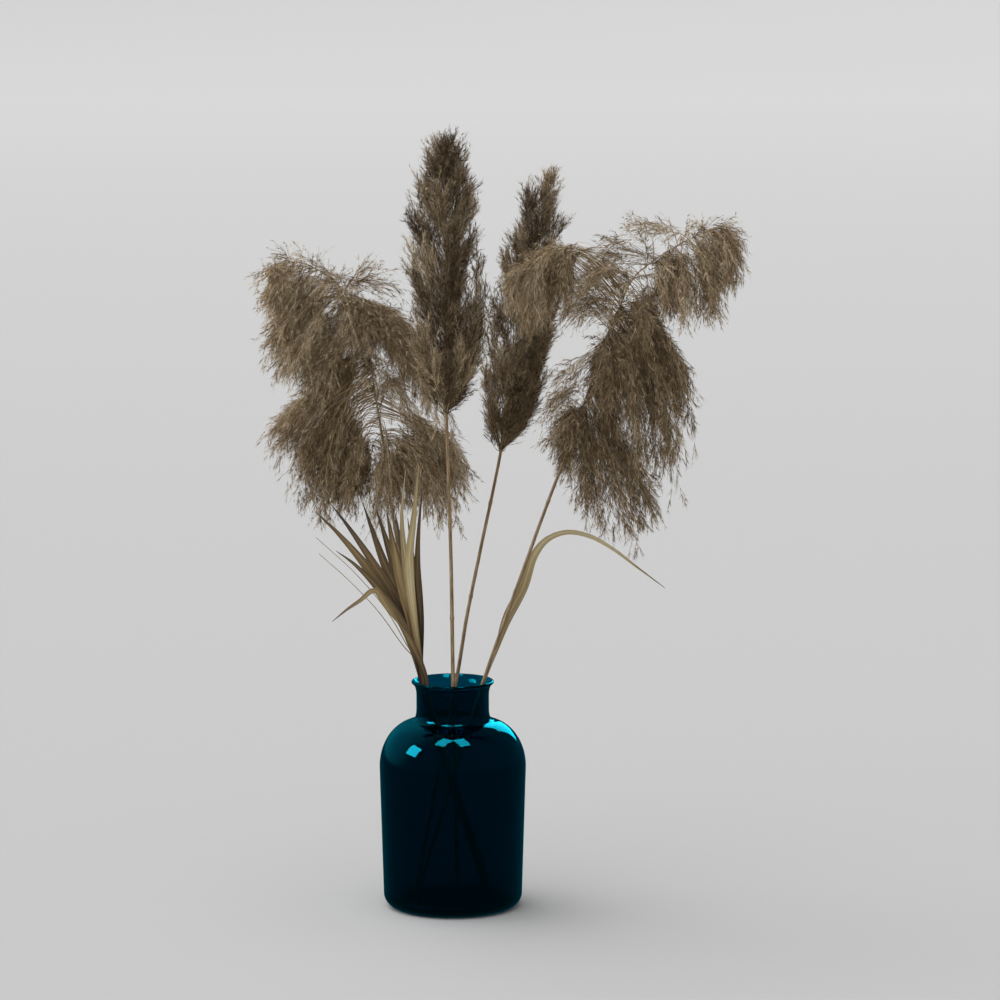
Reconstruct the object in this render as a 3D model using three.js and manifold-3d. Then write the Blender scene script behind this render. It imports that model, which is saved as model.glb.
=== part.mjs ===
// A glass bottle vase holding four dried reed plumes and a fan of dried blades.
// Millimetres, +Z up, +X to the viewer's right, the viewer looks along +Y.
// The origin is the middle of the vase's flat foot.

import * as THREE from "three";
import { mergeVertices } from "three/addons/utils/BufferGeometryUtils.js";
import Module from "manifold-3d";

const wasm = await Module();
wasm.setup();

// Driving dimensions of the vase
const VASE_HEIGHT = 228;
const BODY_RADIUS = 73;
const FOOT_RADIUS = 69.2;
const FOOT_ROUNDING = 13.3;
const BODY_MIDDLE = 70;
const BODY_MIDDLE_RADIUS = 71.3;
const SHOULDER_HEIGHT = 141;
const SHOULDER_RISE = 45;
const SHOULDER_TURN = 1.46;
const NECK_RADIUS = 36;
const NECK_FOOT = 192;
const LIP_START = 213;
const LIP_THROAT = 222;
const LIP_RADIUS = 41;
const LIP_ROUNDING = 2.4;
const WALL = 3.4;
const FLOOR_THICKNESS = 7;
const VASE_SIDES = 32;
const PROFILE_DIVISIONS = 2;
const VERTEX_GAP = 0.3;

// Driving dimensions of the plants
const GAP = 0.4;
const FOOT_TILT = 0.9;
const STANDING_HEIGHT = FLOOR_THICKNESS + GAP + FOOT_TILT;
const CULM_RADIUS = 2.5;
const AXIS_RADIUS = 2;
const CULM_SIDES = 6;
const CULM_STEPS = 10;
const LOCK_SIDES = 5;
const LOCK_STEPS = 50;
const AXIS_SIDES = 4;
const AXIS_STEPS = 14;
const BLADE_THICKNESS = 0.8;
const BLADE_STEPS = 10;
const FOLDED_BLADE_STEPS = 18;
const SHEATH_WIDTH = 3.2;
const TIP_WIDTH = 0.9;
const LIP_SHARE = 0.48;
const STRAW_RADIUS = 0.9;
const SEARCH_STEPS = 800;
const GOLDEN_TURN = Math.PI * (3 - Math.sqrt(5));

// Materials
const glass = new THREE.MeshStandardMaterial({ color: 0x00303c, roughness: 0.04, metalness: 0 });
const culm = new THREE.MeshStandardMaterial({ color: 0x7b6650, roughness: 0.7, metalness: 0 });
const plume = new THREE.MeshStandardMaterial({ color: 0x6e5f4a, roughness: 0.95, metalness: 0 });
const blade = new THREE.MeshStandardMaterial({ color: 0x8e7d58, roughness: 0.75, metalness: 0 });
const straw = new THREE.MeshStandardMaterial({ color: 0xb9a67c, roughness: 0.75, metalness: 0 });

const point = ([x, y, z]) => new THREE.Vector3(x, y, z);
const curveThrough = (points) => new THREE.CatmullRomCurve3(points.map(point), false, "centripetal");
const mix = (a, b, t) => a + (b - a) * t;

// Leaves only positions, with the vertices that faces share merged into one.
function bare(geometry) {
  geometry.deleteAttribute("normal");
  geometry.deleteAttribute("uv");
  return mergeVertices(geometry, 1e-4);
}

function solidOf(geometry) {
  const vertProperties = geometry.attributes.position.array;
  const triVerts = new Uint32Array(geometry.index.array);
  return new wasm.Manifold(new wasm.Mesh({ numProp: 3, vertProperties, triVerts }));
}

function geometryOf(solid) {
  const { vertProperties, triVerts } = solid.getMesh();
  const geometry = new THREE.BufferGeometry();
  geometry.setAttribute("position", new THREE.BufferAttribute(vertProperties, 3));
  geometry.setIndex(new THREE.BufferAttribute(triVerts, 1));
  geometry.computeVertexNormals();
  return geometry;
}

function named(name, geometry, material) {
  const mesh = new THREE.Mesh(geometry, material);
  mesh.name = name;
  return mesh;
}

// Bends a geometry whose length runs from Y 0 to Y 1 along a curve. The frame turns as little as it can.
function bendRound(geometry, curve, steps) {
  const frames = curve.computeFrenetFrames(steps, false);
  const position = geometry.attributes.position;
  for (let i = 0; i < position.count; i++) {
    const along = THREE.MathUtils.clamp(position.getY(i), 0, 1);
    const nearest = Math.round(along * steps);
    const moved = curve
      .getPointAt(along)
      .addScaledVector(frames.normals[nearest], position.getX(i))
      .addScaledVector(frames.binormals[nearest], -position.getZ(i));
    position.setXYZ(i, moved.x, moved.y, moved.z);
  }
  return bare(geometry);
}

// A round rod along a curve, with one radius at its foot, one at its top and flat cut ends.
function rod(curve, footRadius, topRadius, steps, sides) {
  const profile = [new THREE.Vector2(0, 0)];
  for (let i = 0; i <= steps; i++) {
    profile.push(new THREE.Vector2(mix(footRadius, topRadius, i / steps), i / steps));
  }
  profile.push(new THREE.Vector2(0, 1));
  return bendRound(new THREE.LatheGeometry(profile, sides), curve, steps);
}

// A lock of the plume: a tapering bundle along a curve, thin where it grows and pointed at its tip.
const LOCK_FORM = [
  [0, 0],
  [0.16, 0.5],
  [0.46, 1],
  [0.8, 0.72],
  [1, 0],
];
function lock({ root, bend, tip, girth }) {
  const curve = new THREE.QuadraticBezierCurve3(root, bend, tip);
  const profile = LOCK_FORM.map(([along, share]) => new THREE.Vector2(share * girth, along));
  return bendRound(new THREE.LatheGeometry(profile, LOCK_SIDES), curve, LOCK_STEPS);
}

// The vase, turned from one profile: up the outside, over the lip and down the inside to the floor
function vase() {
  const profile = new THREE.Path();
  const shoulderDepth = BODY_RADIUS - NECK_RADIUS;
  const shoulderTop = SHOULDER_HEIGHT + SHOULDER_RISE;
  const footFlat = FOOT_RADIUS - FOOT_ROUNDING;
  const insideRounding = FOOT_ROUNDING - WALL;
  const insideNeck = NECK_RADIUS - WALL;

  profile.moveTo(0, 0);
  profile.lineTo(footFlat, 0);
  profile.absarc(footFlat, FOOT_ROUNDING, FOOT_ROUNDING, -Math.PI / 2, 0, false);
  profile.lineTo(BODY_MIDDLE_RADIUS, BODY_MIDDLE);
  for (const [from, to] of [[0, SHOULDER_TURN / 2], [SHOULDER_TURN / 2, SHOULDER_TURN]]) {
    profile.absellipse(NECK_RADIUS, SHOULDER_HEIGHT, shoulderDepth, SHOULDER_RISE, from, to, false);
  }
  profile.quadraticCurveTo(NECK_RADIUS, shoulderTop, NECK_RADIUS, NECK_FOOT);
  profile.lineTo(NECK_RADIUS, LIP_START);
  profile.quadraticCurveTo(NECK_RADIUS, LIP_THROAT, LIP_RADIUS, VASE_HEIGHT - LIP_ROUNDING);
  profile.quadraticCurveTo(LIP_RADIUS, VASE_HEIGHT, LIP_RADIUS - LIP_ROUNDING / 2, VASE_HEIGHT);

  profile.quadraticCurveTo(insideNeck, LIP_THROAT, insideNeck, LIP_START);
  profile.lineTo(insideNeck, NECK_FOOT);
  profile.quadraticCurveTo(insideNeck, shoulderTop - WALL, NECK_RADIUS + 1, shoulderTop - WALL);
  profile.absellipse(
    NECK_RADIUS,
    SHOULDER_HEIGHT,
    shoulderDepth - WALL,
    SHOULDER_RISE - WALL,
    SHOULDER_TURN,
    0,
    true,
  );
  profile.lineTo(BODY_MIDDLE_RADIUS - WALL, BODY_MIDDLE);
  profile.absarc(footFlat, FLOOR_THICKNESS + insideRounding, insideRounding, 0, -Math.PI / 2, true);
  profile.lineTo(0, FLOOR_THICKNESS);

  const apart = (p, i, all) => i === 0 || p.distanceTo(all[i - 1]) > VERTEX_GAP;
  const outline = profile.getPoints(PROFILE_DIVISIONS).filter(apart);
  return bare(new THREE.LatheGeometry(outline, VASE_SIDES)).rotateX(Math.PI / 2);
}

// Reeds, each from its foot on the vase's floor, past the lip and on along the axis of its plume.
// plumeFrom is the number of the point where the plume begins and the culm ends.
const REEDS = {
  tall: { plumeFrom: 4, points: [
    [5, -15, STANDING_HEIGHT], [1, -29, 215], [-1, -36, 354], [-3, -40, 423], [-5, -44.5, 500],
    [-6, -50, 610], [-5, -54, 700], [-4, -56, 768],
  ] },
  rear: { plumeFrom: 4, points: [
    [-38, 22, STANDING_HEIGHT], [3, 28.5, 220], [14, 32, 287], [26, 38, 346], [48, 48, 452],
    [55, 52, 501], [65, 57, 572], [77, 61, 642], [91, 64, 724],
  ] },
  right: { plumeFrom: 4, points: [
    [-38, -36, STANDING_HEIGHT], [28, -9, 220], [67, -7, 331], [96, -9, 412], [118, -10, 470],
    [132, -11, 512], [151, -13, 568], [166, -14, 605], [176, -15, 627], [194, -16, 644],
    [233, -17, 668], [262, -18, 680],
  ] },
  left: { plumeFrom: 4, points: [
    [38, 20.5, STANDING_HEIGHT], [-26, 10.8, 215], [-42, 9, 298], [-57, 11, 378], [-62, 12, 414],
    [-70, 14, 474], [-77, 15, 517], [-86, 16, 571], [-103, 15, 609], [-130, 13, 634],
    [-159, 11, 643], [-187, 9, 626],
  ] },
};

// A stretch of a longer curve, between two shares of its length
class Stretch extends THREE.Curve {
  constructor(whole, from, to) {
    super();
    Object.assign(this, { whole, from, to });
  }
  getPoint(t) {
    return this.whole.getPointAt(mix(this.from, this.to, t));
  }
}

function reedOf(name) {
  const { points, plumeFrom } = REEDS[name];
  const whole = curveThrough(points);
  const fork = point(points[plumeFrom]);
  const samples = whole.getSpacedPoints(SEARCH_STEPS);
  const distances = samples.map((sample) => sample.distanceTo(fork));
  const forkAt = distances.indexOf(Math.min(...distances)) / SEARCH_STEPS;
  const gap = GAP / whole.getLength();
  return { culm: new Stretch(whole, 0, forkAt - gap), axis: new Stretch(whole, forkAt, 1) };
}

function culmOf(name) {
  const { culm: curve } = reedOf(name);
  return named(`stem_${name}`, rod(curve, CULM_RADIUS, AXIS_RADIUS, CULM_STEPS, CULM_SIDES), culm);
}

// Upright plumes: locks spiral up the axis, press against it and stand away at their tips.
const SPIRES = {
  tall: { count: 15, radius: 36, taper: 0, closing: 4, first: 64, longest: 128, shortest: 62, girth: 13 },
  rear: { count: 13, radius: 34, taper: 0.4, closing: 6, first: 78, longest: 122, shortest: 58, girth: 12 },
};

function spireLocks(axis, { count, radius, taper, closing, first, longest, shortest, girth }) {
  const whole = axis.getLength();
  const locks = [];
  for (let i = 0; i < count; i++) {
    const height = i / (count - 1);
    const turn = i * GOLDEN_TURN;
    const length = mix(longest, shortest, height);
    const tipAlong = mix(first + longest * 0.25, whole, height);
    const away = radius * (1 - taper * height) * (1 - height ** closing);
    const out = new THREE.Vector3(Math.cos(turn), Math.sin(turn), 0);
    const root = axis.getPointAt(THREE.MathUtils.clamp((tipAlong - length) / whole, 0.01, 0.93));
    const bend = axis
      .getPointAt(THREE.MathUtils.clamp((tipAlong - length * 0.62) / whole, 0, 1))
      .addScaledVector(out, away * 0.95);
    const tip = axis
      .getPointAt(Math.min(tipAlong / whole, 1))
      .addScaledVector(out, away)
      .add(new THREE.Vector3(0, 0, height === 1 ? 8 : 0));
    locks.push({ root, bend, tip, girth: girth * (1 - 0.35 * height) });
  }
  return locks;
}

// Drooping plumes: each swag is a row of locks that leave the axis between two shares of its length,
// rise towards a row of bends and hang down to a row of tips. Bends and tips are [x, z].
const SWAGS = {
  right: [
    { count: 5, from: [0.08, 0.24], bend: [[108, 512], [142, 500], [178, 505]],
      tip: [[95, 466], [122, 412], [166, 366], [206, 382]], depth: 26, girth: 13 },
    { count: 5, from: [0.36, 0.54], bend: [[146, 586], [186, 600], [216, 590]],
      tip: [[146, 498], [186, 428], [230, 420]], depth: 26, girth: 15 },
    { count: 3, from: [0.44, 0.56], bend: [[222, 574], [226, 596]],
      tip: [[250, 458], [243, 544]], depth: 16, girth: 11 },
    { count: 5, from: [0.52, 0.66], bend: [[72, 694], [112, 662], [130, 640]],
      tip: [[46, 588], [84, 564], [148, 578]], depth: 12, girth: 13 },
    { count: 2, from: [0.66, 0.86], bend: [[180, 676], [216, 688]],
      tip: [[152, 674], [190, 694]], depth: 12, girth: 5 },
    { count: 5, from: [0.7, 0.98], bend: [[200, 668], [248, 706], [296, 706]],
      tip: [[214, 584], [246, 572], [286, 584], [300, 630]], depth: 24, girth: 15 },
  ],
  left: [
    { count: 4, from: [0.7, 0.99], bend: [[-150, 640], [-170, 660], [-176, 660]],
      tip: [[-184, 560], [-201, 566], [-192, 634]], depth: 22, girth: 11 },
    { count: 4, from: [0.54, 0.72], bend: [[-116, 606], [-140, 624], [-166, 620]],
      tip: [[-124, 526], [-152, 536], [-176, 542]], depth: 24, girth: 14 },
    { count: 4, from: [0.32, 0.5], bend: [[-134, 534], [-150, 548], [-164, 548]],
      tip: [[-152, 400], [-170, 428], [-191, 466]], depth: 24, girth: 11 },
    { count: 4, from: [0.18, 0.4], bend: [[-84, 488], [-106, 512], [-128, 512]],
      tip: [[-72, 396], [-100, 390], [-134, 394]], depth: 24, girth: 14 },
    { count: 4, from: [0.48, 0.66], bend: [[-74, 606], [-44, 618], [-26, 612]],
      tip: [[-62, 510], [-30, 498], [-8, 486]], depth: 22, girth: 12 },
    { count: 5, from: [0.12, 0.32], bend: [[-44, 478], [-22, 498], [10, 492]],
      tip: [[-42, 404], [-14, 378], [20, 384], [24, 420]], depth: 20, girth: 12 },
    { count: 2, from: [0.62, 0.74], bend: [[-96, 642], [-76, 640]],
      tip: [[-88, 646], [-56, 618]], depth: 10, girth: 5 },
  ],
};

// A point of a row of [x, z] pairs at a share of its length, set back or forward in depth.
function rowPoint(row, share, y) {
  const curve = new THREE.CatmullRomCurve3(row.map(([x, z]) => new THREE.Vector3(x, 0, z)));
  return curve.getPoint(share).setY(y);
}

function swagLocks(axis, { count, from, bend, tip, depth, girth }) {
  const locks = [];
  for (let i = 0; i < count; i++) {
    const share = count > 1 ? i / (count - 1) : 0.5;
    const root = axis.getPointAt(mix(from[0], from[1], (i * 0.618 + 0.3) % 1));
    const y = depth * Math.sin(i * GOLDEN_TURN + 1.6);
    locks.push({
      root,
      bend: rowPoint(bend, share, root.y + y * 0.9),
      tip: rowPoint(tip, share, root.y + y),
      girth,
    });
  }
  return locks;
}

function plumeOf(name) {
  const { axis } = reedOf(name);
  const locks = SPIRES[name]
    ? spireLocks(axis, SPIRES[name])
    : SWAGS[name].flatMap((swag) => swagLocks(axis, swag));
  const bodies = [rod(axis, AXIS_RADIUS, AXIS_RADIUS / 2, AXIS_STEPS, AXIS_SIDES), ...locks.map(lock)];
  return named(`plume_${name}`, geometryOf(wasm.Manifold.union(bodies.map(solidOf))), plume);
}

// A blade: a thin strip with a shallow fold along its midrib, narrow in the vase and pointed at its tip.
// Its face looks at the viewer, and turn(share) turns it about its own length, in radians.
function bladeAlong(points, { width, widest = 0.8, fold = 0.1, steps = BLADE_STEPS, turn = () => 0 }) {
  const curve = curveThrough(points);
  const geometry = new THREE.BoxGeometry(1, 1, 1, 2, steps, 1);
  const position = geometry.attributes.position;
  for (let i = 0; i < position.count; i++) {
    const share = position.getY(i) + 0.5;
    const tangent = curve.getTangentAt(share);
    const face = new THREE.Vector3(0, 1, 0).addScaledVector(tangent, -tangent.y).normalize();
    face.applyAxisAngle(tangent, turn(share));
    const across = new THREE.Vector3().crossVectors(tangent, face);
    const opened = THREE.MathUtils.smoothstep(share, LIP_SHARE, widest);
    const closed = Math.max(0, (share - widest) / (1 - widest)) ** 1.6;
    const breadth = mix(mix(SHEATH_WIDTH, width, opened), TIP_WIDTH, closed);
    const side = position.getX(i) * breadth;
    const crease = fold * (breadth - 2 * Math.abs(side));
    const moved = curve
      .getPointAt(share)
      .addScaledVector(across, side)
      .addScaledVector(face, position.getZ(i) * BLADE_THICKNESS + crease);
    position.setXYZ(i, moved.x, moved.y, moved.z);
  }
  return bare(geometry);
}

// The fan of blades leans on the left of the lip. Each blade keeps its own layer from front to back,
// closest together in the vase and further apart above it. Points are [x, z] above the lip, and lean
// is how far back the tip is.
const FAN_FRONT = -17.5;
const FAN_PITCH = 2.2;
const FAN_REACH = 29.4;
const FAN_FOOT = 34;
const FAN = [
  { name: "folded", width: 8, lean: -58, steps: FOLDED_BLADE_STEPS, foldAt: 0.75,
    above: [[-46, 280], [-66, 312], [-75, 325], [-80, 324], [-88, 314], [-104, 300], [-120, 287]] },
  { name: "pale_tall", pale: true, width: 9, lean: -52,
    above: [[-34, 290], [-39, 352], [-36, 400], [-32, 444]] },
  { name: "pale_inner", pale: true, width: 8, lean: -48,
    above: [[-36, 286], [-44, 350], [-48, 400], [-45, 438]] },
  { name: "edge", width: 7, lean: -44,
    above: [[-31, 290], [-33, 350], [-28, 392], [-26, 416]] },
  { name: "broad_front", width: 11, lean: -40,
    above: [[-39, 290], [-52, 340], [-60, 380], [-64, 404]] },
  { name: "broad_middle", width: 11, lean: -36,
    above: [[-40, 294], [-56, 344], [-68, 384], [-74, 404]] },
  { name: "low_left", width: 8, lean: -30,
    above: [[-48, 284], [-74, 324], [-96, 348], [-114, 362]] },
  { name: "far_left", width: 9, lean: -26,
    above: [[-50, 290], [-82, 341], [-112, 378], [-134, 400]] },
  { name: "dark_left", width: 8, lean: -22,
    above: [[-46, 290], [-76, 344], [-102, 384], [-119, 407]] },
  { name: "middle_left", width: 9, lean: -18,
    above: [[-43, 292], [-66, 344], [-80, 384], [-88, 408]] },
  { name: "broad_inner", width: 10, lean: -14,
    above: [[-36, 292], [-46, 344], [-54, 384], [-57, 400]] },
  { name: "back_edge", width: 8, lean: -10,
    above: [[-29, 290], [-31, 330], [-36, 366], [-40, 392]] },
];
const STRAWS = [
  { name: "straw_long", lean: 16, above: [[-44, 258], [-66, 296], [-98, 334], [-136, 369]] },
  { name: "straw_short", lean: 19, above: [[-48, 258], [-74, 294], [-102, 324], [-133, 352]] },
];

// A blade or straw of the fan: from the vase's floor, past the inside of the neck and on through its
// own points, coming forward or back as evenly as it grows longer.
function fanPoints(layer, { above, lean }) {
  const y = FAN_FRONT + layer * FAN_PITCH;
  const neckX = -Math.sqrt(FAN_REACH ** 2 - y ** 2);
  const foot = [FAN_FOOT, y * 0.9 + 10, STANDING_HEIGHT];
  const neck = [neckX, y, LIP_START];
  const mouth = [neckX - 3.5, y - 0.5, VASE_HEIGHT + 8];
  const row = [[mouth[0], mouth[2]], ...above];
  const whole = runLength(row);
  const steps = above.map(([x, z], i) => [x, mix(y, lean, runLength(row.slice(0, i + 2)) / whole), z]);
  return [foot, neck, mouth, ...steps];
}

function runLength(row) {
  return row.slice(1).reduce((sum, [x, z], i) => sum + Math.hypot(x - row[i][0], z - row[i][1]), 0);
}

function fan() {
  const blades = FAN.map((spec, layer) => {
    const turn = spec.foldAt
      ? (share) => 1.35 * Math.exp(-(((share - spec.foldAt) / 0.06) ** 2))
      : () => 0;
    const { width, steps } = spec;
    const geometry = bladeAlong(fanPoints(layer, spec), { width, steps, turn });
    return named(`blade_${spec.name}`, geometry, spec.pale ? straw : blade);
  });
  const straws = STRAWS.map((spec, i) => {
    const curve = curveThrough(fanPoints(FAN.length + 2.4 + i * 1.1, spec));
    return named(spec.name, rod(curve, STRAW_RADIUS, STRAW_RADIUS / 2, CULM_STEPS, 5), straw);
  });
  return [...blades, ...straws];
}

// The single blade on the right: it climbs behind its stem, arches over and points down.
function archedBlade() {
  const points = [
    [-38, -32.5, STANDING_HEIGHT], [27, -4.4, 216], [43, -2, 258], [54, -2, 290], [70, -2, 322],
    [84, -3, 352], [97, -4, 370], [113, -5, 377], [136, -6, 373], [158, -7, 361], [182, -8, 343],
    [210, -9, 322],
  ];
  const turn = (share) => THREE.MathUtils.smoothstep(share, 0.55, 0.72);
  return named("blade_arched", bladeAlong(points, { width: 11, widest: 0.56, fold: 0.14, turn }), straw);
}

const root = new THREE.Group();
root.add(named("vase", vase(), glass));
for (const name of Object.keys(REEDS)) {
  root.add(culmOf(name), plumeOf(name));
}
root.add(...fan(), archedBlade());

export default root;
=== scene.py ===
# A dark teal glass bottle with four dried reed plumes and a fan of dried blades, in a plain studio.
# Shapes are worked out in millimetres, in the same frame as the solids, and turned to metres when a
# mesh is made.

import math

import bpy
import numpy as np
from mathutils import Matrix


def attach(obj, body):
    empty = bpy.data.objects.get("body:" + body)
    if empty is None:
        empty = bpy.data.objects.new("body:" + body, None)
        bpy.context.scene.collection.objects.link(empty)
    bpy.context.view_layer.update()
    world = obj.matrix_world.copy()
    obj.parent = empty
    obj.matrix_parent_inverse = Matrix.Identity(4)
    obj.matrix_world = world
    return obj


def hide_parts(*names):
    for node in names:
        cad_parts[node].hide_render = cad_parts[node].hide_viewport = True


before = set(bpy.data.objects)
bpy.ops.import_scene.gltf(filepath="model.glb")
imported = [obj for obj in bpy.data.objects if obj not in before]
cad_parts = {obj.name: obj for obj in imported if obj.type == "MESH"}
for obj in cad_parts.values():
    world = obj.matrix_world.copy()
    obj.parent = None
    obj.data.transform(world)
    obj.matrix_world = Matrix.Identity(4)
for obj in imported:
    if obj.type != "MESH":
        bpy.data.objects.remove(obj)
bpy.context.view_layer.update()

MM = 0.001
GOLDEN_TURN = math.pi * (3 - math.sqrt(5))
UP = np.array([0.0, 0.0, 1.0])

# Camera, at the photograph's viewing angle
CAMERA_PLACE = (0.04706, -3.91948, 0.91746)
CAMERA_PITCH = math.radians(90 - 7.4)
CAMERA_LENS = 144
CAMERA_REACH = 2000
SENSOR = 36

# The way to the soft window light, at the left, behind and above
WINDOW_WAY = (-0.68, 0.56, 0.47)
DAYLIGHT_STRENGTH = 1.3
DAYLIGHT_SPREAD = math.radians(78)

# Floor, in metres: how far it is flat, how much further it goes, and how high it curves up there
FLOOR_FLAT = 26
FLOOR_SWEEP = 19
FLOOR_RISE = 8
FLOOR_SIDES = 96

# Vase
VASE_HEIGHT = 228
BODY_RADIUS = 72.9
FOOT_RADIUS = 69.1
FOOT_ROUNDING = 13.3
SHOULDER_HEIGHT = 141.5
SHOULDER_RISE = 46.3
SHOULDER_TURN = 1.42
NECK_RADIUS = 36.1
NECK_FOOT = 200
LIP_START = 213
LIP_BEND = 221
LIP_RADIUS = 41
LIP_BEAD = 1.7
WALL = 3.4
FLOOR_THICKNESS = 7
VASE_SIDES = 128

# Reeds: the same points as the solids have, from the foot on the vase's floor to the plume's top
STANDING_HEIGHT = 8.3
CULM_RADIUS = 2.3
AXIS_RADIUS = 1.5
AXIS_TIP_RADIUS = 0.35
JOINT_SWELL = 0.45
JOINT_LENGTH = 2.2
REED_STEPS = 400
REEDS = {
    "tall": {"plume_from": 4, "points": [
        (5, -15, STANDING_HEIGHT), (1, -29, 215), (-1, -36, 354), (-3, -40, 423), (-5, -44.5, 500),
        (-6, -50, 610), (-5, -54, 700), (-4, -56, 768),
    ]},
    "rear": {"plume_from": 4, "points": [
        (-38, 22, STANDING_HEIGHT), (3, 28.5, 220), (14, 32, 287), (26, 38, 346), (48, 48, 452),
        (55, 52, 501), (65, 57, 572), (77, 61, 642), (91, 64, 724),
    ]},
    "right": {"plume_from": 4, "points": [
        (-38, -36, STANDING_HEIGHT), (28, -9, 220), (67, -7, 331), (96, -9, 412), (118, -10, 470),
        (132, -11, 512), (151, -13, 568), (166, -14, 605), (176, -15, 627), (194, -16, 644),
        (233, -17, 668), (262, -18, 680),
    ]},
    "left": {"plume_from": 4, "points": [
        (38, 20.5, STANDING_HEIGHT), (-26, 10.8, 215), (-42, 9, 298), (-57, 11, 378), (-62, 12, 414),
        (-70, 14, 474), (-77, 15, 517), (-86, 16, 571), (-103, 15, 609), (-130, 13, 634),
        (-159, 11, 643), (-187, 9, 626),
    ]},
}

# Upright plumes: twigs spiral up the axis and rise out to an outline, given as (share of the axis,
# distance from it). The gap is a hollow on the right, between two shares.
SPIRES = {
    "tall": {"twigs": 260, "first": 36, "longest": 118, "shortest": 50, "gap": (0.2, 0.42),
             "outline": [(0, 1), (0.06, 5), (0.13, 15), (0.24, 34), (0.38, 42), (0.56, 42), (0.72, 36),
                         (0.88, 26), (1, 12)]},
    "rear": {"twigs": 190, "first": 40, "longest": 118, "shortest": 50, "gap": (0.02, 0.1),
             "outline": [(0, 1), (0.07, 6), (0.16, 20), (0.32, 34), (0.47, 34), (0.6, 32), (0.74, 29),
                         (0.88, 23), (1, 12)]},
}

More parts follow.
